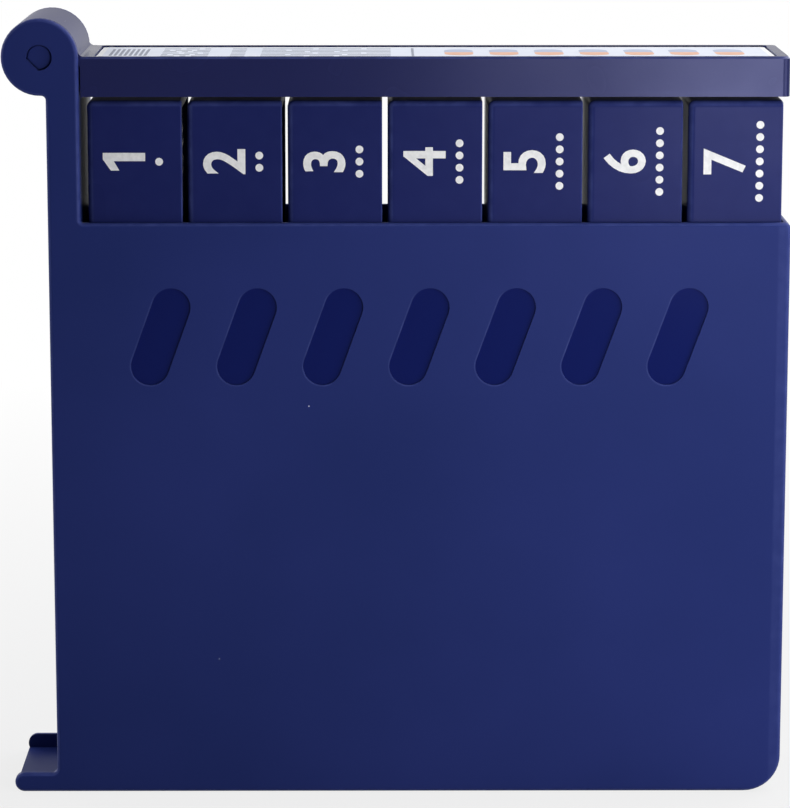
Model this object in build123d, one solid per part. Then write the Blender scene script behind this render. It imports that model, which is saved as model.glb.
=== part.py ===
from build123d import *
import os

# Weekly pill box: an open-topped moulded case that holds a row of upright day trays.
# A narrow lid hinges on a barrel at the upper left, closes over the tray tops and folds
# right round onto the left side, where its end drops between the two noses of the foot.
# +X runs along the row of trays, +Y from front to back, +Z up. Lengths are millimetres.
# The origin is under the middle of the box, on the surface that it stands on.

# Day trays: each is a deep tray on edge, open towards +X and split into compartments.
tray_count = 7
tray_width = 17.0
tray_depth = 24.4
tray_height = 123.1
tray_gap = 1.0
tray_edge_radius = 1.2
tray_rim_cut = 0.25
tray_back_wall = 1.2
tray_side_wall = 1.7
tray_end_wall = 1.4
compartment_count = 4
divider_thickness = 1.2
compartment_corner_cut = 1.2

# Sliding covers: clear plates that run in grooves under the lips of a tray.
cover_thickness = 1.0
cover_play = 0.15
groove_depth = 0.8
lip_thickness = 0.7
cover_corner_cut = 0.7
grip_count = 4
grip_length = 10.0
grip_width = 1.2
grip_pitch = 2.6
grip_height = 0.2
grip_from_top = 5.0

# Case: two flat side walls, a rounded right wall, a floor and a cored post under the hinge.
wall = 1.5
right_wall = 1.2
floor = 1.3
rim_height = 106.2
corner_radius = 6.7
rim_corner_radius = 1.0
rim_notch_radius = 0.6
edge_radius = 0.8
post_width = 5.9
post_skin = 1.3
tray_side_play = 0.3
tray_left_play = 1.3
tray_right_play = 0.4
tray_seat_play = 0.2
floor_rib_height = 3.5
floor_rib_thickness = 1.2
floor_rib_spacing = 15.0
guide_rib_reach = 1.6
guide_rib_play = 0.2
guide_rib_drop = 4.0

# Foot: both side walls run on to the left as noses, with a thin plate between them.
nose_height = 3.6
nose_end_radius = 1.75
nose_root_radius = 1.0
foot_plate = 1.0

# Hinge: two discs on the side walls carry a pin, and the lid's knuckle turns on it. The pin
# goes in from the back until its shoulder meets the front disc, which holds its flat end.
barrel_radius = 6.9
barrel_root_radius = 0.8
knuckle_play = 0.4
pin_radius = 2.25
pin_flat = 0.5
pin_flat_angle = 225.0
pin_seat_play = 0.05
pin_running_play = 0.06
pin_shoulder_play = 0.1
pin_recess = 0.7
pin_end_chamfer = 0.25

# Lid: an upside-down channel with ribs below and a shallow recess for its label on top.
lid_height = 7.2
lid_top = 1.7
lid_skirt = 1.2
lid_side_play = 0.2
lid_end_play = 0.25
lid_end_setback = 0.4
lid_gap = 0.7
lid_end_radius = 1.4
lid_edge_cut = 0.4
lid_root_radius = 1.0
lid_rib_thickness = 1.0
lid_rib_drop = 0.5
neck_play = 0.5
label_recess = 0.5
label_thickness = 0.2
label_play = 0.25
label_side_margin = 1.1
label_end_margin = 2.2
label_root_margin = 2.6
label_corner_radius = 1.0

# Pressed capsule marks in a row across the front wall.
mark_count = 7
mark_length = 18.5
mark_width = 7.0
mark_pitch = 15.6
mark_tilt = 70.0
mark_depth = 0.45
mark_height = 85.5

# Places that follow from the sizes above.
tray_pitch = tray_width + tray_gap
row_length = tray_count * tray_pitch - tray_gap
inner_depth = tray_depth + 2 * tray_side_play
case_depth = inner_depth + 2 * wall
total_width = 2 * barrel_radius + tray_left_play + row_length + tray_right_play + right_wall
left_end = -total_width / 2
case_right = total_width / 2
axis_x = left_end + barrel_radius
post_right = axis_x + barrel_radius
post_left = post_right - post_width
first_tray_left = post_right + tray_left_play
tray_bottom = floor + floor_rib_height + tray_seat_play
tray_top = tray_bottom + tray_height
lid_bottom = tray_top + lid_gap
axis_z = lid_bottom + lid_height
lid_depth = inner_depth - 2 * lid_side_play
lid_left = post_right + lid_end_play
lid_right = case_right - lid_end_setback
lid_inner_top = axis_z - lid_top
label_left = post_right + label_root_margin
label_right = lid_right - label_end_margin
label_depth = lid_depth - 2 * label_side_margin
cover_space = cover_thickness + 2 * cover_play
groove_outer = tray_width - lip_thickness
groove_inner = groove_outer - cover_space
pocket_depth = tray_depth - 2 * tray_side_wall
groove_span = pocket_depth + 2 * groove_depth
inner_height = tray_height - 2 * tray_end_wall
compartment_height = (inner_height - (compartment_count - 1) * divider_thickness) / compartment_count


def block(x0, x1, y0, y1, z0, z1):
    """Box between two opposite corners, given axis by axis."""
    middle = Pos((x0 + x1) / 2, (y0 + y1) / 2, (z0 + z1) / 2)
    return middle * Box(x1 - x0, y1 - y0, z1 - z0)


def slab(x0, x1, depth, z0, z1):
    """Box of a given depth, centred between front and back."""
    return block(x0, x1, -depth / 2, depth / 2, z0, z1)


def area(x0, x1, z0, z1):
    """Rectangle in the front view."""
    return Pos((x0 + x1) / 2, (z0 + z1) / 2) * Rectangle(x1 - x0, z1 - z0)


def prism(outline, front, back):
    """Solid from a front-view outline, between two places along Y."""
    return extrude(Plane.XZ.offset(-back) * outline, amount=back - front)


def through(outline, depth):
    """Solid of a given depth from a front-view outline, centred between front and back."""
    return prism(outline, -depth / 2, depth / 2)


def barrel(radius):
    """Circle about the hinge axis in the front view."""
    return Pos(axis_x, axis_z) * Circle(radius)


def roller(radius, depth):
    """Cylinder on the hinge axis."""
    return through(barrel(radius), depth)


def rounded(outline, x, z, radius):
    """Front-view outline with the corner nearest to (x, z) rounded."""
    corner = outline.vertices().sort_by_distance((x, z, 0))[0]
    return fillet(corner, radius)


def pin_section(radius, flat):
    """D-shaped section of the pin's front end, or of the hole that takes it."""
    flat_edge = radius - flat
    key = Pos(flat_edge + radius, 0) * Rectangle(2 * radius, 4 * radius)
    return Pos(axis_x, axis_z) * Rot(0, 0, pin_flat_angle) * (Circle(radius) - key)


def case_outline():
    """Front view of a side wall: panel, hinge post, barrel disc and foot nose in one."""
    outline = area(post_left, case_right, 0, rim_height)
    outline += area(post_left, post_right, 0, axis_z)
    outline += barrel(barrel_radius)
    outline += area(left_end, post_left, 0, nose_height)
    outline = rounded(outline, case_right, 0, corner_radius)
    outline = rounded(outline, case_right, rim_height, rim_corner_radius)
    outline = rounded(outline, post_right, rim_height, rim_notch_radius)
    outline = rounded(outline, left_end, 0, nose_end_radius)
    outline = rounded(outline, left_end, nose_height, nose_end_radius)
    outline = rounded(outline, post_left, nose_height, nose_root_radius)
    return rounded(outline, post_left, axis_z - barrel_radius, barrel_root_radius)


def tray_space():
    """Hollow for the row of trays, open at the top, with the case's rounded corner inside."""
    right = case_right - right_wall
    hollow = area(post_right, right, floor, rim_height + edge_radius)
    hollow = rounded(hollow, right, floor, corner_radius - max(right_wall, floor))
    return through(hollow, inner_depth)


def capsule_marks():
    """Row of shallow tilted capsules pressed into the front wall."""
    middle_x = (post_left + case_right) / 2
    marks = Sketch()
    for place in GridLocations(mark_pitch, 0, mark_count, 1):
        marks += place * Rot(0, 0, mark_tilt) * SlotOverall(mark_length, mark_width)
    face = Plane.XZ.offset(case_depth / 2 - mark_depth)
    return extrude(face * (Pos(middle_x, mark_height) * marks), amount=2 * mark_depth)


def guide_ribs():
    """Thin upright ribs inside both side walls, one in each gap between two trays."""
    half_rib = (tray_gap - 2 * guide_rib_play) / 2
    inner = inner_depth / 2 - guide_rib_reach
    outer = inner_depth / 2 + wall / 2
    ribs = []
    for gap in range(1, tray_count):
        x = first_tray_left + gap * tray_pitch - tray_gap / 2
        for y0, y1 in ((-outer, -inner), (inner, outer)):
            ribs.append(block(x - half_rib, x + half_rib, y0, y1, floor / 2, rim_height - guide_rib_drop))
    return ribs


def floor_ribs():
    """Two long ribs on the floor that the trays stand on, clear of the rounded corner."""
    half_rib = floor_rib_thickness / 2
    stretch = through(case_outline(), case_depth)
    ribs = []
    for y in (-floor_rib_spacing / 2, floor_rib_spacing / 2):
        rib = block(post_right - post_skin / 2, case_right, y - half_rib, y + half_rib,
                    floor / 2, floor + floor_rib_height)
        ribs.append(rib & stretch)
    return ribs


def make_case():
    """Moulded case with its hinge discs, cored post, foot and inside ribs."""
    body = through(case_outline(), case_depth)
    side_faces = body.faces().filter_by(Axis.Y)
    body = fillet(side_faces.edges(), edge_radius)
    body -= tray_space()
    body -= roller(barrel_radius + knuckle_play, inner_depth)
    neck_low = axis_z - lid_top - neck_play
    body -= slab(axis_x, post_right + lid_end_play, inner_depth, neck_low, axis_z + barrel_radius)
    body -= slab(left_end - wall, post_left, inner_depth, foot_plate, axis_z)
    body -= slab(post_left + post_skin, post_right - post_skin, inner_depth, floor, axis_z)
    seat_radius = pin_radius + pin_seat_play
    body -= prism(pin_section(seat_radius, pin_flat), -case_depth, 0)
    body -= prism(barrel(seat_radius), 0, case_depth)
    body -= capsule_marks()
    return body + guide_ribs() + floor_ribs()


def make_hinge_pin():
    """Round pin with a flat on its front end, which keys it to the front disc."""
    front = pin_recess - case_depth / 2
    back = case_depth / 2 - pin_recess
    shoulder = pin_shoulder_play - inner_depth / 2
    pin = prism(barrel(pin_radius), shoulder, back)
    pin += prism(pin_section(pin_radius, pin_flat), front, shoulder)
    ends = pin.faces().filter_by(Axis.Y).sort_by(Axis.Y)
    return chamfer(ends[0].edges() + ends[-1].edges(), pin_end_chamfer)


def lid_bar():
    """Outer form of the lid's bar, before it is hollowed."""
    bar = slab(lid_left, lid_right, lid_depth, lid_bottom, axis_z)
    right_end = bar.faces().sort_by(Axis.X)[-1]
    bar = fillet(right_end.edges().filter_by(Axis.Z), lid_end_radius)
    top_edges = bar.faces().sort_by(Axis.Z)[-1].edges()
    return chamfer(top_edges.sort_by(Axis.X)[1:], lid_edge_cut)


def lid_ribs():
    """Stiffening ribs under the lid: one along it and one over each gap between trays."""
    low = lid_bottom + lid_rib_drop
    high = axis_z - lid_top / 2 - label_recess / 2
    half_rib = lid_rib_thickness / 2
    ribs = [slab(lid_left + lid_skirt / 2, lid_right - lid_skirt / 2, lid_rib_thickness, low, high)]
    for gap in range(1, tray_count):
        x = first_tray_left + gap * tray_pitch - tray_gap / 2
        ribs.append(slab(x - half_rib, x + half_rib, lid_depth - lid_skirt, low, high))
    return ribs


def label_area(play):
    """Plan of the label's recess, drawn smaller all round by a given play."""
    length = label_right - label_left - 2 * play
    return RectangleRounded(length, label_depth - 2 * play, label_corner_radius)


def make_lid():
    """Lid with its knuckle, hollow below, ribbed, and recessed on top for the label."""
    hollow = slab(lid_left + lid_skirt, lid_right - lid_skirt, lid_depth - 2 * lid_skirt,
                  lid_bottom - lid_gap, lid_inner_top)
    lid = lid_bar() - hollow + lid_ribs()
    lid += slab(axis_x, lid_left + lid_skirt, lid_depth, lid_inner_top, axis_z)
    lid += roller(barrel_radius, lid_depth)
    root = lid.edges().filter_by(Axis.Y).sort_by_distance((post_right, 0, axis_z))[0]
    lid = fillet(root, lid_root_radius)
    lid -= roller(pin_radius + pin_running_play, 2 * lid_depth)
    seat = Pos((label_left + label_right) / 2, 0, axis_z - label_recess)
    return lid - extrude(seat * label_area(0), amount=2 * label_recess)


def make_lid_label():
    """Thin plain label lying in the lid's recess."""
    seat = Pos((label_left + label_right) / 2, 0, axis_z - label_recess)
    return extrude(seat * label_area(label_play), amount=label_thickness)


def tray_shell():
    """Outer form of a tray, with round edges and a narrow slope round its open side."""
    shell = slab(0, tray_width, tray_depth, tray_bottom, tray_top)
    back_edges = shell.faces().sort_by(Axis.X)[0].edges()
    top_edges = shell.faces().sort_by(Axis.Z)[-1].edges().filter_by(Axis.X)
    shell = fillet(back_edges + top_edges, tray_edge_radius)
    return chamfer(shell.faces().sort_by(Axis.X)[-1].edges(), tray_rim_cut)


def make_tray():
    """Tray with its compartments, and grooves that let the cover out at the lower end."""
    tray = tray_shell()
    section = Rectangle(pocket_depth, compartment_height)
    section = chamfer(section.vertices(), compartment_corner_cut)
    for number in range(compartment_count):
        low = tray_bottom + tray_end_wall + number * (compartment_height + divider_thickness)
        mouth = Plane.YZ.offset(tray_back_wall) * (Pos(0, low + compartment_height / 2) * section)
        tray -= extrude(mouth, amount=tray_width)
    upper_end = tray_top - tray_end_wall
    tray -= slab(groove_inner, 2 * tray_width, pocket_depth, tray_bottom - tray_end_wall, upper_end)
    return tray - slab(groove_inner, groove_outer, groove_span, tray_bottom - tray_end_wall, upper_end)


def make_cover():
    """Clear sliding cover with a patch of grip bars for the thumb near its upper end."""
    low = tray_bottom + cover_play
    high = tray_top - tray_end_wall - cover_play
    inner = groove_inner + cover_play
    outer = inner + cover_thickness
    plate = slab(inner, outer, groove_span - 2 * cover_play, low, high)
    cover = chamfer(plate.edges().filter_by(Axis.X), cover_corner_cut)
    for number in range(grip_count):
        z = high - grip_from_top - number * grip_pitch
        cover += slab(inner, outer + grip_height, grip_length, z - grip_width / 2, z + grip_width / 2)
    return cover


def make_parts():
    """All pieces in place, by name."""
    parts = {
        "case": make_case(),
        "hinge_pin": make_hinge_pin(),
        "lid": make_lid(),
        "lid_label": make_lid_label(),
    }
    tray = make_tray()
    cover = make_cover()
    for day in range(1, tray_count + 1):
        place = Pos(first_tray_left + (day - 1) * tray_pitch, 0, 0)
        parts[f"day_tray_{day}"] = place * tray
        parts[f"tray_cover_{day}"] = place * cover
    return parts


os.makedirs("parts", exist_ok=True)
for name, part in make_parts().items():
    export_step(part, f"parts/{name}.step")
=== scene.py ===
# %% [markdown]
# # A weekly pill box in navy plastic
# The object is a flat upright box that holds seven lift-out day trays under one long narrow lid. Its
# solids come ready made from the CAD frame, so this lesson gives them their finish: moulded plastic,
# printed film, clear covers and white print. The frame is loaded first because every later step takes
# its places from it.

# %% Load the frame
import math

import bmesh
import bpy
from mathutils import Matrix, Vector


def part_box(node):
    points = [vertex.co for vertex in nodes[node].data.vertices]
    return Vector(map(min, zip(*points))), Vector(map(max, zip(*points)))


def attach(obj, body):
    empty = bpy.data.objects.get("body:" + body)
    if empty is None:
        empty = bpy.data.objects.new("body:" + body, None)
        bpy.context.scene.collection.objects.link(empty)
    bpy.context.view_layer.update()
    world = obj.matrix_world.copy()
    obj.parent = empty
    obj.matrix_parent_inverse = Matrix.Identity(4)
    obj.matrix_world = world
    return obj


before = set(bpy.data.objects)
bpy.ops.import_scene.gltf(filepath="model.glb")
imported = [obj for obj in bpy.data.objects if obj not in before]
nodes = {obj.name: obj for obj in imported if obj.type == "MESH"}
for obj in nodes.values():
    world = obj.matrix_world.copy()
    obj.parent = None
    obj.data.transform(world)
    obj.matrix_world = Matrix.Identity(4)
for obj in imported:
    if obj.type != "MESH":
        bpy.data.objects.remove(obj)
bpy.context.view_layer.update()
MM = 0.001
print("pieces in the frame:", len(nodes))

# %% [markdown]
# ## Small helpers for node materials
# A moulded surface is never one flat colour, so each material here is a short chain of nodes. Wiring
# those by hand in every cell would bury the idea under repeated lines. These helpers each add one node
# and return its output, so a material reads like a sum.

# %% Node helpers
def feed(tree, socket, value):
    """Sets a socket, or links it where the value comes from another node."""
    if isinstance(value, bpy.types.NodeSocket):
        tree.links.new(value, socket)
    else:
        socket.default_value = value


def arith(tree, operation, *values):
    """One step of arithmetic on numbers or node outputs."""
    node = tree.nodes.new("ShaderNodeMath")
    node.operation = operation
    for socket, value in zip(node.inputs, values):
        feed(tree, socket, value)
    return node.outputs["Value"]


def remap(tree, value, low, high, new_low=0.0, new_high=1.0):
    """Carries a value from one range to another, and holds it at the ends."""
    node = tree.nodes.new("ShaderNodeMapRange")
    for name, number in zip(("Value", "From Min", "From Max", "To Min", "To Max"),
                            (value, low, high, new_low, new_high)):
        feed(tree, node.inputs[name], number)
    return node.outputs["Result"]


def blend(tree, amount, first, second):
    """Number that goes from the first to the second as the amount goes from 0 to 1."""
    return remap(tree, amount, 0.0, 1.0, first, second)


def band(tree, value, low, high, soft):
    """1 where a value lies between two limits, falling to 0 over a soft margin outside them."""
    rise = remap(tree, value, low - soft, low)
    fall = remap(tree, value, high, high + soft, 1.0, 0.0)
    return arith(tree, "MULTIPLY", rise, fall)


def tint(tree, amount, first, second):
    """Colour that goes from the first to the second as the amount goes from 0 to 1."""
    node = tree.nodes.new("ShaderNodeMix")
    node.data_type = "RGBA"
    feed(tree, node.inputs["Factor"], amount)
    feed(tree, node.inputs["A"], first)
    feed(tree, node.inputs["B"], second)
    return node.outputs["Result"]


# %% [markdown]
# ## Patterns on a surface
# Clouds, grain and dust vary with the place on a piece. They read Object coordinates in millimetres, so a
# pattern has a real size and stays on its piece when that moves. Noise seldom reaches 0 or 1, so most
# patterns stretch the middle span of its values. Grain too fine to model goes in as bump.

# %% Patterns
NOISE_SPAN = (0.3, 0.7)
FINER = 3.0


def noise(tree, place, per_mm, detail=2.0):
    """Cloudy pattern from 0 to 1, with a given number of clouds to the millimetre."""
    node = tree.nodes.new("ShaderNodeTexNoise")
    feed(tree, node.inputs["Vector"], place)
    feed(tree, node.inputs["Scale"], per_mm)
    feed(tree, node.inputs["Detail"], detail)
    return node.outputs["Fac"]


def place_in_mm(tree):
    """Place on the piece in millimetres, as a vector and as its three numbers."""
    source = tree.nodes.new("ShaderNodeTexCoord")
    scale = tree.nodes.new("ShaderNodeVectorMath")
    scale.operation = "SCALE"
    feed(tree, scale.inputs["Vector"], source.outputs["Object"])
    feed(tree, scale.inputs["Scale"], 1.0 / MM)
    split = tree.nodes.new("ShaderNodeSeparateXYZ")
    feed(tree, split.inputs["Vector"], scale.outputs["Vector"])
    return scale.outputs["Vector"], split.outputs["X"], split.outputs["Y"], split.outputs["Z"]


def dust(tree, place, spacing, size, share):
    """1 on a few tiny specks, scattered one to a cell over some of the cells."""
    node = tree.nodes.new("ShaderNodeTexVoronoi")
    feed(tree, node.inputs["Vector"], place)
    feed(tree, node.inputs["Scale"], 1.0 / spacing)
    pick = tree.nodes.new("ShaderNodeSeparateColor")
    feed(tree, pick.inputs["Color"], node.outputs["Color"])
    chosen = arith(tree, "LESS_THAN", pick.outputs["Red"], share)
    near = arith(tree, "LESS_THAN", node.outputs["Distance"], size / spacing)
    return arith(tree, "MULTIPLY", chosen, near)


def raise_grain(tree, shader, height, strength, depth):
    """Bump on a shader from a height between 0 and 1, with its depth in millimetres."""
    bump = tree.nodes.new("ShaderNodeBump")
    feed(tree, bump.inputs["Height"], height)
    feed(tree, bump.inputs["Strength"], strength)
    feed(tree, bump.inputs["Distance"], depth * MM)
    tree.links.new(bump.outputs["Normal"], shader.inputs["Normal"])


# %% [markdown]
# ## Materials on pieces
# Every finish starts from Blender's main shader, and every piece of the frame wears one finish. Any
# material that a piece came with is cleared first, so that only the new one is left.

# %% Materials on pieces
def new_material(name):
    """Empty node material, with its tree and its main shader."""
    material = bpy.data.materials.new(name)
    material.use_nodes = True
    tree = material.node_tree
    return material, tree, tree.nodes["Principled BSDF"]


def dress(names, material):
    """Gives one material to the named pieces of the frame."""
    for name in names:
        nodes[name].data.materials.clear()
        nodes[name].data.materials.append(material)
    print(material.name, "on", len(names), "pieces")


# %% [markdown]
# ## Navy moulded plastic
# Case, lid, trays and pin are all moulded from one navy plastic with a fine satin grain. A plain blue
# shader would look like paper, so four things are layered: slow cloudy changes of tone from the melt,
# a fine grain in the bump, paler rubbed edges, and a few specks of dust. The rubbed edges are found by
# place, because only the rounded edges lie at those depths. On the case the same paler tone also paints
# highlights where edges would catch the light. The colour itself is very deep, since much of what the eye
# takes for navy is the pale room mirrored in the surface. That mirror is tinted, because a grained navy
# skin gives light back bluer than it came.

# %% Navy plastic
# Paler rubbed tone for worn edges; on the case it also paints highlights on edges that would catch light.
RUBBED_AND_HIGHLIGHT_NAVY = (0.060, 0.080, 0.26, 1.0)
POLISHED_NAVY = (0.0032, 0.0080, 0.086, 1.0)
MIRROR_TINT = (0.58, 0.60, 1.0, 1.0)
DUST_GREY = (0.62, 0.64, 0.70, 1.0)
POLISHED = 0.20
MATT = 0.37
CLOUDS_PER_MM = 0.022
RUB_AND_HIGHLIGHT_PER_MM = 0.35
RUB_AND_HIGHLIGHT_SPAN = (0.35, 0.75)
LEAST_RUB_AND_HIGHLIGHT = 0.4
RUB_AND_HIGHLIGHT_SHARE = 0.55
DULL_PER_MM = 0.05
DULL_SPREAD = (-0.04, 0.05)
GRAINS_PER_MM = 1.7
GRAIN_DEPTH = 0.08
DUST_SPACING = 5.5
DUST_SIZE = 0.13
DUST_SHARE = 0.1


def navy_plastic(name, tones, wear_and_highlight_of, gloss_of=None, matt_of=None,
                 roughness=0.42, grain=0.12, shine=0.08):
    """Satin navy plastic; functions find its rubbed edges, any painted highlights, any polished or matt
    areas.
    """
    material, tree, shader = new_material(name)
    place, x, y, z = place_in_mm(tree)
    clouds = noise(tree, place, CLOUDS_PER_MM, FINER)
    colour = tint(tree, remap(tree, clouds, *NOISE_SPAN), *tones)
    patchy = remap(tree, noise(tree, place, RUB_AND_HIGHLIGHT_PER_MM), *RUB_AND_HIGHLIGHT_SPAN, LEAST_RUB_AND_HIGHLIGHT, 1.0)
    # Worn edges take the paler tone, and so do the case's painted highlights.
    rub_and_highlight = arith(tree, "MULTIPLY", wear_and_highlight_of(tree, x, y, z), patchy)
    colour = tint(tree, arith(tree, "MULTIPLY", rub_and_highlight, RUB_AND_HIGHLIGHT_SHARE), colour, RUBBED_AND_HIGHLIGHT_NAVY)
    smoothest, dullest = (roughness + change for change in DULL_SPREAD)
    dull = remap(tree, noise(tree, place, DULL_PER_MM), *NOISE_SPAN, smoothest, dullest)
    height = noise(tree, place, GRAINS_PER_MM, FINER)
    if matt_of:
        dull = blend(tree, matt_of(tree, x, y, z), dull, MATT)
    if gloss_of:
        polished = gloss_of(tree, x, y, z)
        colour = tint(tree, polished, colour, POLISHED_NAVY)
        dull = blend(tree, polished, dull, POLISHED)
        height = arith(tree, "MULTIPLY", height, arith(tree, "SUBTRACT", 1.0, polished))
    specks = dust(tree, place, DUST_SPACING, DUST_SIZE, DUST_SHARE)
    colour = tint(tree, specks, colour, DUST_GREY)
    feed(tree, shader.inputs["Base Color"], colour)
    feed(tree, shader.inputs["Roughness"], dull)
    shader.inputs["Specular IOR Level"].default_value = shine
    shader.inputs["Specular Tint"].default_value = MIRROR_TINT
    raise_grain(tree, shader, height, grain, GRAIN_DEPTH)
    return material


# %% [markdown]
# ## Marks pressed into the case
# The front wall carries a row of pressed capsule shapes, one for each day, with polished floors. The floors
# lie a little below the wall, so they are picked out by depth. Each mark also has a painted highlight, a
# thin paler rim at its lower left where its wall faces the lamps, found by its distance from the mark's
# middle line. One mark is enough for that, because wrapping x at the pitch repeats it along the row.

# %% Pressed marks
case_low, case_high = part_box("case")
FRONT_FACE = case_low.y / MM
DAYS = 7
MARK_DEPTH = 0.45
MARK_ZONE = (70.0, 100.0)
ZONE_SOFT = 1.0
FLOOR_LAYER = 0.04
MARK_MIDDLE = (3.95, 85.5)
MARK_PITCH = 15.6
MARK_RADIUS = 3.5
MARK_HALF_LINE = 5.75
MARK_TILT = math.radians(70.0)
# Width of each mark's painted highlight rim, and the side it lies on, the side that faces the lamps.
MARK_RIM = 0.2
HIGHLIGHT_SIDE = (-0.84, -0.54)
SOFT = 0.05


def pressed_floors(tree, x, y, z):
    """Floors of the capsule shapes pressed into the front wall."""
    floor_depth = FRONT_FACE + MARK_DEPTH
    at_depth = band(tree, y, floor_depth - FLOOR_LAYER, floor_depth + FLOOR_LAYER, FLOOR_LAYER / 2)
    return arith(tree, "MULTIPLY", at_depth, band(tree, z, *MARK_ZONE, ZONE_SOFT))


def mark_rims(tree, x, y, z):
    """Painted highlight on a thin rim at the lower left of each capsule shape."""
    from_middle = arith(tree, "SUBTRACT", x, MARK_MIDDLE[0])
    right = arith(tree, "WRAP", from_middle, MARK_PITCH / 2, -MARK_PITCH / 2)
    up = arith(tree, "SUBTRACT", z, MARK_MIDDLE[1])
    along = arith(tree, "ADD", arith(tree, "MULTIPLY", right, math.cos(MARK_TILT)),
                  arith(tree, "MULTIPLY", up, math.sin(MARK_TILT)))
    across = arith(tree, "SUBTRACT", arith(tree, "MULTIPLY", right, math.sin(MARK_TILT)),
                   arith(tree, "MULTIPLY", up, math.cos(MARK_TILT)))
    on_line = arith(tree, "MINIMUM", arith(tree, "MAXIMUM", along, -MARK_HALF_LINE), MARK_HALF_LINE)
    beyond = arith(tree, "SUBTRACT", along, on_line)
    reach = arith(tree, "SQRT", arith(tree, "ADD", arith(tree, "MULTIPLY", beyond, beyond),
                                      arith(tree, "MULTIPLY", across, across)))
    rim = band(tree, reach, MARK_RADIUS, MARK_RADIUS + MARK_RIM, SOFT)
    facing = arith(tree, "ADD", arith(tree, "MULTIPLY", beyond, HIGHLIGHT_SIDE[0]),
                   arith(tree, "MULTIPLY", across, HIGHLIGHT_SIDE[1]))
    rim = arith(tree, "MULTIPLY", rim, remap(tree, facing, 0.0, MARK_RADIUS / 2))
    half_row = DAYS / 2 * MARK_PITCH
    in_row = band(tree, from_middle, -half_row, half_row, SOFT)
    on_face = remap(tree, y, FRONT_FACE + SOFT, FRONT_FACE + 2 * SOFT, 1.0, 0.0)
    return arith(tree, "MULTIPLY", rim, arith(tree, "MULTIPLY", in_row, on_face))


print("pressed marks:", DAYS, "at a pitch of", MARK_PITCH, "millimetres")

# %% [markdown]
# ## The case
# The rest of the case has a fine spark-eroded grain. The rounded rim of its side walls lies just below
# their faces, all the way round. The right edge also shows a painted highlight, a paler band about two
# millimetres wide where the rounded edge would catch the light, which a share of the rubbed tone gives.

# %% Case finish
CASE_NAVY = ((0.0140, 0.0240, 0.121, 1.0), (0.0180, 0.0284, 0.143, 1.0))
RIGHT_SIDE = case_high.x / MM
WALL_EDGE = 0.8
RIM_SPAN = (0.75, 0.1)
# Painted highlight: a paler band along the right edge, where the rounded edge would catch the light.
HIGHLIGHT_BAND_WIDTH = 2.0
HIGHLIGHT_BAND_FADE = 0.4
HIGHLIGHT_BAND_SHARE = 0.5


def case_edges(tree, x, y, z):
    """Rounded rim round the flat side walls, plus painted highlights on their right edge and marks' rims."""
    depth = arith(tree, "ABSOLUTE", y)
    rim_low, rim_top = (-FRONT_FACE - share * WALL_EDGE for share in RIM_SPAN)
    rim = band(tree, depth, rim_low, rim_top, SOFT)
    # Paler band along the right edge of the wall faces: a painted highlight.
    band_start = RIGHT_SIDE - HIGHLIGHT_BAND_WIDTH
    side = remap(tree, x, band_start - HIGHLIGHT_BAND_FADE, band_start, 0.0, HIGHLIGHT_BAND_SHARE)
    on_wall = remap(tree, depth, rim_top - SOFT, rim_top)
    edges = arith(tree, "MAXIMUM", rim, arith(tree, "MULTIPLY", side, on_wall))
    return arith(tree, "MAXIMUM", edges, mark_rims(tree, x, y, z))


dress(["case"], navy_plastic("case_plastic", CASE_NAVY, case_edges, pressed_floors))

# %% [markdown]
# ## Lid, trays and pin
# These come from other moulds, so each has its own edges and its own polish. The lid's bar is the
# smoothest and the darkest, so it mirrors a soft glow, while its knuckle is matt from turning between
# the two discs of the case. The rounded edges of the trays lie just inside their front and back faces.

# %% Lid, tray and pin finish
LID_NAVY = ((0.0042, 0.0066, 0.054, 1.0), (0.0056, 0.0086, 0.067, 1.0))
TRAY_NAVY = ((0.0072, 0.0114, 0.077, 1.0), (0.0093, 0.0140, 0.094, 1.0))
label_low, label_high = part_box("lid_label")
LABEL_SUNK = 0.3
LABEL_INSET = 2.5
LID_TOP = label_high.z / MM + LABEL_SUNK
LID_SLOPE = 0.4
LID_ROOT = label_low.x / MM - LABEL_INSET
tray_names = [f"day_tray_{day}" for day in range(1, DAYS + 1)]
tray_low, tray_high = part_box(tray_names[0])
TRAY_FACE = tray_low.y / MM
TRAY_EDGE = 1.2
TRAY_EDGE_SPAN = (0.8, 0.06)
TRAY_EDGE_SOFT = 0.08
PIN_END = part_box("hinge_pin")[1].y / MM
PIN_SLOPE = 0.25
SLOPE_END = 0.02
SLOPE_SOFT = 0.01


def lid_edges(tree, x, y, z):
    """Narrow slope along the lid's upper edge, up to where the barrel starts."""
    slope = band(tree, z, LID_TOP - LID_SLOPE, LID_TOP - SLOPE_END, SLOPE_SOFT)
    return arith(tree, "MULTIPLY", slope, arith(tree, "GREATER_THAN", x, LID_ROOT))


def lid_knuckle(tree, x, y, z):
    """Part of the lid that turns on the pin."""
    return arith(tree, "LESS_THAN", x, LID_ROOT)


def tray_edges(tree, x, y, z):
    """Rounded edges of a tray, between its flat faces."""
    depth = arith(tree, "ABSOLUTE", y)
    edge_low, edge_top = (-TRAY_FACE - share * TRAY_EDGE for share in TRAY_EDGE_SPAN)
    return band(tree, depth, edge_low, edge_top, TRAY_EDGE_SOFT)


def pin_edges(tree, x, y, z):
    """Sloped ends of the hinge pin."""
    depth = arith(tree, "ABSOLUTE", y)
    return band(tree, depth, PIN_END - PIN_SLOPE, PIN_END - SLOPE_END, SLOPE_SOFT)


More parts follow.
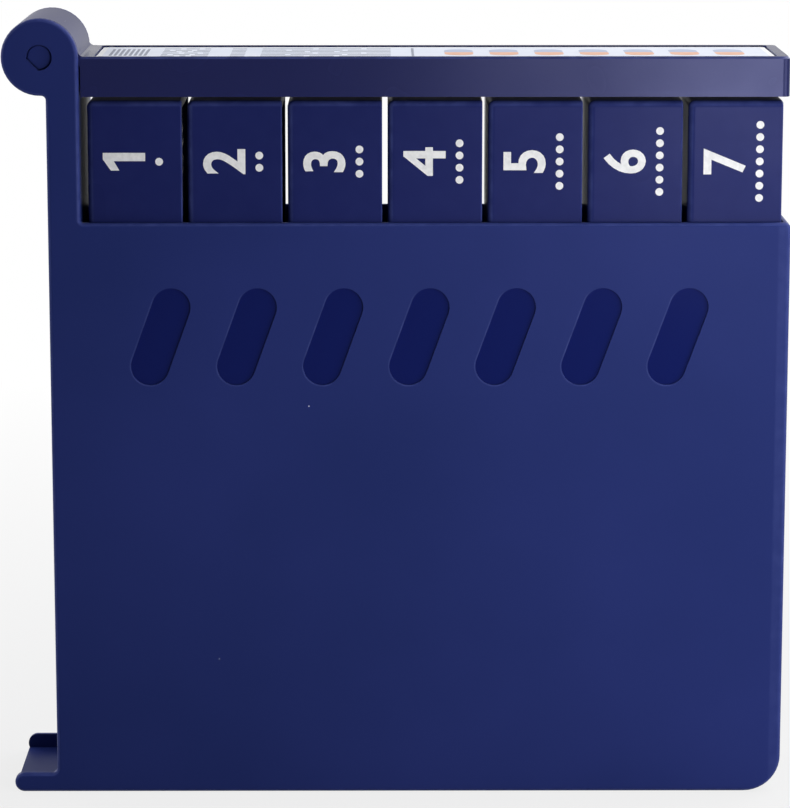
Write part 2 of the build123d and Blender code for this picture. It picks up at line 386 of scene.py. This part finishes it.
lid_plastic = navy_plastic("lid_plastic", LID_NAVY, lid_edges, matt_of=lid_knuckle,
                           roughness=0.24, grain=0.10, shine=0.23)
tray_plastic = navy_plastic("tray_plastic", TRAY_NAVY, tray_edges, roughness=0.30, grain=0.06)
pin_plastic = navy_plastic("pin_plastic", CASE_NAVY, pin_edges, roughness=0.36, grain=0.05)
dress(["lid"], lid_plastic)
dress(tray_names, tray_plastic)
dress(["hinge_pin"], pin_plastic)

# %% [markdown]
# ## Clear sliding covers
# Each tray is closed by a clear plate in grooves. Clear plastic needs transmission rather than see-through
# alpha, so that it bends light a little. Faint scuffs in the roughness keep it from looking like glass.
# Rays from the lamps pass straight through, because bent ones would seldom reach the tray behind and leave
# it black.

# %% Clear covers
COVER_TONES = ((0.80, 0.85, 0.92, 1.0), (0.88, 0.92, 0.96, 1.0))
COVER_SHADE = (0.86, 0.90, 0.94, 1.0)
COVER_BEND = 1.2
HAZE_PER_MM = 0.05
SCUFFS_PER_MM = 0.12
SCUFF_SPAN = (0.35, 0.75)
SCUFFED = (0.05, 0.14)
cover_names = [f"tray_cover_{day}" for day in range(1, DAYS + 1)]
cover_plastic, cover_tree, cover_shader = new_material("cover_plastic")
cover_place = place_in_mm(cover_tree)[0]
scuffs = remap(cover_tree, noise(cover_tree, cover_place, SCUFFS_PER_MM, FINER), *SCUFF_SPAN, *SCUFFED)
feed(cover_tree, cover_shader.inputs["Roughness"], scuffs)
haze = remap(cover_tree, noise(cover_tree, cover_place, HAZE_PER_MM), *NOISE_SPAN)
feed(cover_tree, cover_shader.inputs["Base Color"], tint(cover_tree, haze, *COVER_TONES))
cover_shader.inputs["Transmission Weight"].default_value = 1.0
cover_shader.inputs["IOR"].default_value = COVER_BEND
lamp_rays = cover_tree.nodes.new("ShaderNodeLightPath").outputs["Is Shadow Ray"]
straight_through = cover_tree.nodes.new("ShaderNodeBsdfTransparent")
straight_through.inputs["Color"].default_value = COVER_SHADE
cover_mix = cover_tree.nodes.new("ShaderNodeMixShader")
feed(cover_tree, cover_mix.inputs["Fac"], lamp_rays)
cover_tree.links.new(cover_shader.outputs["BSDF"], cover_mix.inputs[1])
cover_tree.links.new(straight_through.outputs["BSDF"], cover_mix.inputs[2])
cover_tree.links.new(cover_mix.outputs["Shader"], cover_tree.nodes["Material Output"].inputs["Surface"])
dress(cover_names, cover_plastic)

# %% [markdown]
# ## The lid's label
# A printed film lies in a shallow recess of the lid, pale blue-grey with a white margin. Film is smoother
# than paper and takes a slightly uneven tone where it was pressed down, which slow noise gives. The margin
# is found by distance from the film's own edges.

# %% Label film
MARGIN = 1.0
MARGIN_SOFT = 0.1
FILM_WHITE = (0.84, 0.85, 0.87, 1.0)
FILM_GREY = ((0.66, 0.70, 0.80, 1.0), (0.75, 0.78, 0.87, 1.0))
FILM_ROUGHNESS = (0.52, 0.65)
FILM_SHINE = 0.08
FILM_GRAIN = 0.05
UNEVEN_PER_MM = 0.06
RUBS_PER_MM = 0.3
RIPPLES_PER_MM = 0.8
RIPPLE_DEPTH = 0.05
label_film, label_tree, label_shader = new_material("label_film")
label_place, label_x, label_y, _ = place_in_mm(label_tree)
uneven = remap(label_tree, noise(label_tree, label_place, UNEVEN_PER_MM, FINER), *NOISE_SPAN)
along = band(label_tree, label_x, label_low.x / MM + MARGIN, label_high.x / MM - MARGIN, MARGIN_SOFT)
across = band(label_tree, label_y, label_low.y / MM + MARGIN, label_high.y / MM - MARGIN, MARGIN_SOFT)
toned = arith(label_tree, "MULTIPLY", along, across)
feed(label_tree, label_shader.inputs["Base Color"],
     tint(label_tree, toned, FILM_WHITE, tint(label_tree, uneven, *FILM_GREY)))
feed(label_tree, label_shader.inputs["Roughness"],
     remap(label_tree, noise(label_tree, label_place, RUBS_PER_MM), *NOISE_SPAN, *FILM_ROUGHNESS))
label_shader.inputs["Specular IOR Level"].default_value = FILM_SHINE
ripples = noise(label_tree, label_place, RIPPLES_PER_MM)
raise_grain(label_tree, label_shader, ripples, FILM_GRAIN, RIPPLE_DEPTH)
dress(["lid_label"], label_film)

# %% [markdown]
# ## White ink
# The trays are printed with thick white ink. Screen ink lies on the plastic as a very thin layer and wears
# first where fingers touch it, so the tone and the gloss both follow a fine noise. A second pair of tones
# may take over on the front half of the box, for marks that are printed in two colours.

# %% Ink
WHITE_TONES = ((0.75, 0.752, 0.76, 1.0), (0.84, 0.842, 0.846, 1.0))
INK_DEPTH = 0.025 * MM
INK_ROUGHNESS = (0.55, 0.42)
INK_SHINE = 0.1
WEAR_PER_MM = 1.2
WEAR_DETAIL = 4.0
WEAR_SPAN = (0.35, 0.6)
INK_SEAM = 0.1


def ink(name, tones, front_tones=None):
    """Dry printing ink that goes from a worn to a fresh tone."""
    material, tree, shader = new_material(name)
    place, _, y, _ = place_in_mm(tree)
    wear = remap(tree, noise(tree, place, WEAR_PER_MM, WEAR_DETAIL), *WEAR_SPAN)
    colour = tint(tree, wear, *tones)
    if front_tones:
        front_half = remap(tree, y, -INK_SEAM, INK_SEAM, 1.0, 0.0)
        colour = tint(tree, front_half, colour, tint(tree, wear, *front_tones))
    feed(tree, shader.inputs["Base Color"], colour)
    feed(tree, shader.inputs["Roughness"], blend(tree, wear, *INK_ROUGHNESS))
    shader.inputs["Specular IOR Level"].default_value = INK_SHINE
    print(name, "mixed")
    return material


white_ink = ink("white_ink", WHITE_TONES)

# %% [markdown]
# ## Flat shapes for print
# Every printed mark is a flat outline raised by the depth of the ink. A bar starts as a one-cell grid and a
# capsule as a circle whose two halves are pulled apart. Other outlines are drawn as edges and filled, which
# leaves an inner outline open. Raising the faces with an extrusion closes the sides, so each mark is a
# solid of its own.

# %% Flat shapes
ROUND_STEPS = 30
CLOSE = 0.0001 * MM


def raise_ink(shape, faces):
    """Turns flat faces into a solid as deep as the ink."""
    raised = bmesh.ops.extrude_face_region(shape, geom=faces, use_keep_orig=True)
    lifted = [item for item in raised["geom"] if isinstance(item, bmesh.types.BMVert)]
    bmesh.ops.translate(shape, verts=lifted, vec=(0.0, 0.0, INK_DEPTH))


def add_bar(shape, x, y, length, width):
    """Bar of ink about a point."""
    spot = Matrix.Translation((x * MM, y * MM, 0.0)) @ Matrix.Diagonal((length * MM, width * MM, 1.0, 1.0))
    made = bmesh.ops.create_grid(shape, x_segments=1, y_segments=1, size=0.5, matrix=spot)
    raise_ink(shape, list(made["verts"][0].link_faces))


def add_capsule(shape, x, y, radius, straight=0.0):
    """Capsule of ink along Y, or a round spot where it has no straight part."""
    made = bmesh.ops.create_circle(shape, cap_ends=True, segments=ROUND_STEPS, radius=radius * MM)
    for vert in made["verts"]:
        vert.co.y += math.copysign(straight / 2 * MM, vert.co.y)
    bmesh.ops.translate(shape, verts=made["verts"], vec=(x * MM, y * MM, 0.0))
    raise_ink(shape, list(made["verts"][0].link_faces))


def fill_outlines(shape, outlines):
    """Fills an outline with ink, and leaves open what a second one inside it cuts out."""
    for outline in outlines:
        corners = [shape.verts.new((x, y, 0.0)) for x, y in outline]
        for start, end in zip(corners, corners[1:] + corners[:1]):
            shape.edges.new((start, end))
    filled = bmesh.ops.triangle_fill(shape, use_beauty=True, edges=list(shape.edges),
                                     normal=(0.0, 0.0, 1.0))
    raise_ink(shape, [item for item in filled["geom"] if isinstance(item, bmesh.types.BMFace)])


def printed_piece(name, shape, place, material, body):
    """Lays flat print on a surface and lets it ride on that body."""
    bmesh.ops.remove_doubles(shape, verts=shape.verts, dist=CLOSE)
    bmesh.ops.recalc_face_normals(shape, faces=shape.faces)
    bmesh.ops.transform(shape, matrix=place, verts=shape.verts)
    mesh = bpy.data.meshes.new(name)
    shape.to_mesh(mesh)
    shape.free()
    piece = bpy.data.objects.new(name, mesh)
    bpy.context.scene.collection.objects.link(piece)
    piece.data.materials.append(material)
    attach(piece, body)
    print(name, "has", len(mesh.polygons), "faces")


# %% [markdown]
# ## Numerals
# The upper end of each tray shows above the case and carries white print that reads from bottom to top.
# Plain numerals name the days here. Text is a curve in Blender, so it is turned into a mesh first. The
# built-in font draws its one as a bare bar, and its four closes up in bold print, so these two numerals
# are drawn here by their outlines. With more than five steps to a curve, bold print would fold the sharp
# inner corners of the three and the six over themselves.

# %% Numerals
NUMERAL_HEIGHT = 7.6
NUMERAL_WIDTH = 0.92
NUMERAL_SHIFT = 1.9
FLAGGED_ONE = ((0.17, 0.0), (0.32, 0.0), (0.32, 0.70), (0.20, 0.70),
               (0.0, 0.57), (0.0, 0.43), (0.17, 0.52))
FOUR = ((-0.05, 0.20), (0.28, 0.20), (0.28, -0.02), (0.42, -0.02), (0.42, 0.20), (0.49, 0.20),
        (0.49, 0.33), (0.42, 0.33), (0.42, 0.71), (0.32, 0.71), (-0.05, 0.29))
FOUR_COUNTER = ((0.14, 0.33), (0.28, 0.33), (0.28, 0.49))
DRAWN_NUMERALS = {1: (FLAGGED_ONE,), 4: (FOUR, FOUR_COUNTER)}
BOLDER = 0.022
CURVE_STEPS = 5


def outlined_numeral(shape, digit):
    """Adds the numeral in the font's own units, at any depth."""
    if digit in DRAWN_NUMERALS:
        fill_outlines(shape, DRAWN_NUMERALS[digit])
        return
    curve = bpy.data.curves.new("numeral_outline", "FONT")
    curve.body = str(digit)
    curve.offset = BOLDER
    curve.extrude = 0.5
    curve.resolution_u = CURVE_STEPS
    outline = bpy.data.objects.new("numeral_outline", curve)
    bpy.context.scene.collection.objects.link(outline)
    scene_state = bpy.context.evaluated_depsgraph_get()
    mesh = bpy.data.meshes.new_from_object(outline.evaluated_get(scene_state))
    shape.from_mesh(mesh)
    bpy.data.objects.remove(outline)
    bpy.data.meshes.remove(mesh)


def add_numeral(shape, digit):
    """Numeral at its printed size, with its underside on the surface."""
    outlined_numeral(shape, digit)
    low = Vector([min(vert.co[axis] for vert in shape.verts) for axis in range(3)])
    high = Vector([max(vert.co[axis] for vert in shape.verts) for axis in range(3)])
    size = NUMERAL_HEIGHT * MM / (high.y - low.y)
    bmesh.ops.translate(shape, verts=shape.verts, vec=(-(low.x + high.x) / 2, -(low.y + high.y) / 2, -low.z))
    bmesh.ops.scale(shape, verts=shape.verts,
                    vec=(NUMERAL_WIDTH * size, size, INK_DEPTH / (high.z - low.z)))
    bmesh.ops.translate(shape, verts=shape.verts, vec=(0.0, NUMERAL_SHIFT * MM, 0.0))


# %% [markdown]
# ## Day print on the trays
# A row of pips beside each numeral counts the days so far, so the trays can be told apart by eye and from
# either side. The print is drawn flat about the origin and then turned to stand on the tray's front face.

# %% Day print
RIM_HEIGHT = 106.2
PRINT_MIDDLE = (RIM_HEIGHT * MM + tray_high.z) / 2
PIP_RADIUS = 0.7
PIP_PITCH = 2.2
PIP_SHIFT = 4.4


def upright_on(tray_name):
    """Turns flat print to read upwards on the front of a tray."""
    low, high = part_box(tray_name)
    middle = Vector(((low.x + high.x) / 2, low.y, PRINT_MIDDLE))
    turn = Matrix(((0.0, -1.0, 0.0), (0.0, 0.0, -1.0), (1.0, 0.0, 0.0)))
    return Matrix.Translation(middle) @ turn.to_4x4()


for day, tray_name in enumerate(tray_names, start=1):
    shape = bmesh.new()
    add_numeral(shape, day)
    for pip in range(day):
        add_capsule(shape, (pip - (day - 1) / 2) * PIP_PITCH, -PIP_SHIFT, PIP_RADIUS)
    printed_piece(f"day_print_{day}", shape, upright_on(tray_name), white_ink, tray_name)

# %% [markdown]
# ## Rules on the label
# The left half of the lid's label carries small print that says nothing: a block of even stripes, lines of
# bars like words, a column of ticks and a divider. Whole lines would run together into a flat grey when
# seen from low down, so each is broken, and the breaks shift from line to line. All are bars of one grey
# ink, so one piece holds them.

# %% Label rules
LABEL_MIDDLE = (label_low.y + label_high.y) / 2
LINE_WIDTH = 0.8
LINE_PITCH = 2.9
LINES = 6
WORDY_SETS = ((11.5, 9.5), (29.5, 24.5))
WORD_SHARES = (0.36, 0.22, 0.42)
WORD_GAP = 1.0
TICKS = (24.0, 2.6)
STRIPES = 8
STRIPE = (0.5, 13.0)
STRIPE_PITCH = 0.9
STRIPES_MIDDLE = 5.5
DIVIDER = (57.0, 0.45, 16.5)


def on_label(from_left):
    """Place on the label's face, a distance in millimetres from its left end."""
    return Matrix.Translation((label_low.x + from_left * MM, LABEL_MIDDLE, label_high.z))


def add_words(shape, left, y, length, first):
    """Line of bars like words, which starts with a given one of the lengths."""
    for share in WORD_SHARES[first:] + WORD_SHARES[:first]:
        word = share * length - WORD_GAP
        add_bar(shape, left + word / 2, y, word, LINE_WIDTH)
        left += share * length


GREY_TONES = ((0.30, 0.32, 0.39, 1.0), (0.23, 0.25, 0.32, 1.0))
grey_ink = ink("grey_ink", GREY_TONES)
rules = bmesh.new()
add_bar(rules, DIVIDER[0], 0.0, *DIVIDER[1:])
for stripe in range(STRIPES):
    add_bar(rules, STRIPES_MIDDLE + (stripe - (STRIPES - 1) / 2) * STRIPE_PITCH, 0.0, *STRIPE)
for line in range(LINES):
    line_y = (line - (LINES - 1) / 2) * LINE_PITCH
    add_bar(rules, TICKS[0] + TICKS[1] / 2, line_y, TICKS[1], LINE_WIDTH)
    for left, length in WORDY_SETS:
        add_words(rules, left, line_y, length, line % len(WORD_SHARES))
printed_piece("label_rules", rules, on_label(0.0), grey_ink, "lid")

# %% [markdown]
# ## Capsules on the label
# The right half shows seven capsules, one for each day, in two pale inks. Both halves are one outline, and
# the ink changes where the capsule's two shells would meet, which the material finds from the place on
# the lid.

# %% Label capsules
CAPSULE_RADIUS = 2.6
CAPSULE_STRAIGHT = 6.5
CAPSULE_PITCH = 8.2
CAPSULES_MIDDLE = 90.0
BLUE_TONES = ((0.45, 0.50, 0.64, 1.0), (0.40, 0.45, 0.60, 1.0))
ORANGE_TONES = ((0.74, 0.46, 0.34, 1.0), (0.71, 0.40, 0.28, 1.0))
capsule_ink = ink("capsule_ink", BLUE_TONES, ORANGE_TONES)
capsules = bmesh.new()
for day in range(DAYS):
    capsule_x = (day - (DAYS - 1) / 2) * CAPSULE_PITCH
    add_capsule(capsules, capsule_x, 0.0, CAPSULE_RADIUS, CAPSULE_STRAIGHT)
printed_piece("label_capsules", capsules, on_label(CAPSULES_MIDDLE), capsule_ink, "lid")

# %% [markdown]
# ## Floor and surroundings
# The box stands on a plain white studio floor that runs out of the picture. An ordinary pale surface takes
# the box's shadow, and an even white of its own is mixed in for the rays that show it. The share of that
# white grows with the distance from the box, so the shadow stays and the far floor meets the backdrop.

# %% Floor
def shown_white(tree):
    """1 for the rays that show the background: straight, mirrored or through clear plastic."""
    path = tree.nodes.new("ShaderNodeLightPath")
    shown = arith(tree, "MAXIMUM", path.outputs["Is Camera Ray"], path.outputs["Is Glossy Ray"])
    return arith(tree, "MAXIMUM", shown, path.outputs["Is Transmission Ray"])


FLOOR_SIZE = 8.0
FLOOR_DROP = 0.05 * MM
FLOOR_GREY = (0.35, 0.35, 0.36, 1.0)
FLOOR_ROUGHNESS = 0.9
SHADOW_REACH = (80.0, 420.0)
WHITE_SHARE = (0.80, 1.0)
floor_shape = bmesh.new()
bmesh.ops.create_grid(floor_shape, x_segments=1, y_segments=1, size=FLOOR_SIZE / 2,
                      matrix=Matrix.Translation((0.0, 0.0, -FLOOR_DROP)))
floor_mesh = bpy.data.meshes.new("studio_floor")
floor_shape.to_mesh(floor_mesh)
floor_shape.free()
studio_floor = bpy.data.objects.new("studio_floor", floor_mesh)
bpy.context.scene.collection.objects.link(studio_floor)

floor_white, floor_tree, floor_shader = new_material("floor_white")
floor_shader.inputs["Base Color"].default_value = FLOOR_GREY
floor_shader.inputs["Roughness"].default_value = FLOOR_ROUGHNESS
floor_shader.inputs["Specular IOR Level"].default_value = 0.0
own_white = floor_tree.nodes.new("ShaderNodeEmission")
own_white.inputs["Strength"].default_value = 1.0
floor_mix = floor_tree.nodes.new("ShaderNodeMixShader")
reach = floor_tree.nodes.new("ShaderNodeVectorMath")
reach.operation = "LENGTH"
feed(floor_tree, reach.inputs["Vector"], place_in_mm(floor_tree)[0])
share = remap(floor_tree, reach.outputs["Value"], *SHADOW_REACH, *WHITE_SHARE)
feed(floor_tree, floor_mix.inputs["Fac"], arith(floor_tree, "MULTIPLY", shown_white(floor_tree), share))
floor_tree.links.new(floor_shader.outputs["BSDF"], floor_mix.inputs[1])
floor_tree.links.new(own_white.outputs["Emission"], floor_mix.inputs[2])
floor_tree.links.new(floor_mix.outputs["Shader"], floor_tree.nodes["Material Output"].inputs["Surface"])
studio_floor.data.materials.append(floor_white)
print("studio floor:", FLOOR_SIZE, "metres wide")

# %% [markdown]
# ## The room
# A dim, even room fills the shadows. To the camera, in reflections and through clear plastic the same room
# shows as plain white, which costs no light on the box.

# %% World
ROOM_TINT = (0.93, 0.95, 1.0, 1.0)
ROOM_STRENGTH = 0.05
studio = bpy.data.worlds.new("studio")
studio.use_nodes = True
bpy.context.scene.world = studio
studio_tree = studio.node_tree
room = studio_tree.nodes["Background"]
room.inputs["Color"].default_value = ROOM_TINT
room.inputs["Strength"].default_value = ROOM_STRENGTH
backdrop = studio_tree.nodes.new("ShaderNodeBackground")
backdrop.inputs["Strength"].default_value = 1.0
world_mix = studio_tree.nodes.new("ShaderNodeMixShader")
feed(studio_tree, world_mix.inputs["Fac"], shown_white(studio_tree))
studio_tree.links.new(room.outputs["Background"], world_mix.inputs[1])
studio_tree.links.new(backdrop.outputs["Background"], world_mix.inputs[2])
studio_tree.links.new(world_mix.outputs["Shader"], studio_tree.nodes["World Output"].inputs["Surface"])
print("room strength:", ROOM_STRENGTH)

# %% [markdown]
# ## Soft lamps
# The right end of the box is brighter than the left, and the lid shows a pale glow that grows towards it.
# The glow comes from a strong and a weak small lamp, side by side where the lid's front mirrors them to
# the camera. A third one close to the right end grazes the front wall, so its light falls off quickly to
# the left. One lamp each lights the hinge side and the label. Two light the back, and they stand well
# apart so that neither shows as a streak on the round barrel.

# %% Lamps
def soft_lamp(name, place, aim, size, power):
    """Square area lamp that faces a point."""
    light = bpy.data.lights.new(name, "AREA")
    light.shape = "SQUARE"
    light.size = size
    light.energy = power
    lamp = bpy.data.objects.new(name, light)
    lamp.location = place
    lamp.rotation_mode = "QUATERNION"
    lamp.rotation_quaternion = (Vector(aim) - Vector(place)).to_track_quat("-Z", "Y")
    bpy.context.scene.collection.objects.link(lamp)
    print(name, "at", place, "with", power, "watts")


BOX_MIDDLE = (0.0, 0.0, 0.07)
soft_lamp("key_lamp", (0.095, -0.22, 0.11), BOX_MIDDLE, 0.06, 0.205)
soft_lamp("front_lamp", (0.040, -0.22, 0.11), BOX_MIDDLE, 0.05, 0.036)
soft_lamp("right_lamp", (0.20, -0.13, 0.10), BOX_MIDDLE, 0.12, 0.25)
soft_lamp("left_lamp", (-0.68, 0.02, 0.35), BOX_MIDDLE, 0.40, 2.4)
soft_lamp("top_lamp", (0.30, 0.10, 0.60), BOX_MIDDLE, 0.40, 3.1)
soft_lamp("rear_left_lamp", (-0.55, 0.62, 0.38), BOX_MIDDLE, 0.40, 2.6)
soft_lamp("rear_right_lamp", (0.55, 0.62, 0.38), BOX_MIDDLE, 0.40, 2.6)

# %% [markdown]
# ## Camera
# The photograph looks slightly down on the box from in front, with upright edges that stay almost
# parallel. A long lens from further away keeps them so, and needs no lens shift.

# %% Camera
SENSOR = 36.0
LENS = 158.8
CAMERA_PLACE = (-0.003, -0.650, 0.193)
CAMERA_AIM = (-0.0004, 0.0, 0.0705)
camera_data = bpy.data.cameras.new("camera")
camera_data.sensor_width = SENSOR
camera_data.lens = LENS
camera = bpy.data.objects.new("camera", camera_data)
camera.location = CAMERA_PLACE
camera.rotation_mode = "QUATERNION"
camera.rotation_quaternion = (Vector(CAMERA_AIM) - camera.location).to_track_quat("-Z", "Y")
bpy.context.scene.collection.objects.link(camera)
bpy.context.scene.camera = camera
bpy.context.scene.view_settings.view_transform = "Standard"
print("camera at", CAMERA_PLACE, "with a lens of", LENS, "millimetres")
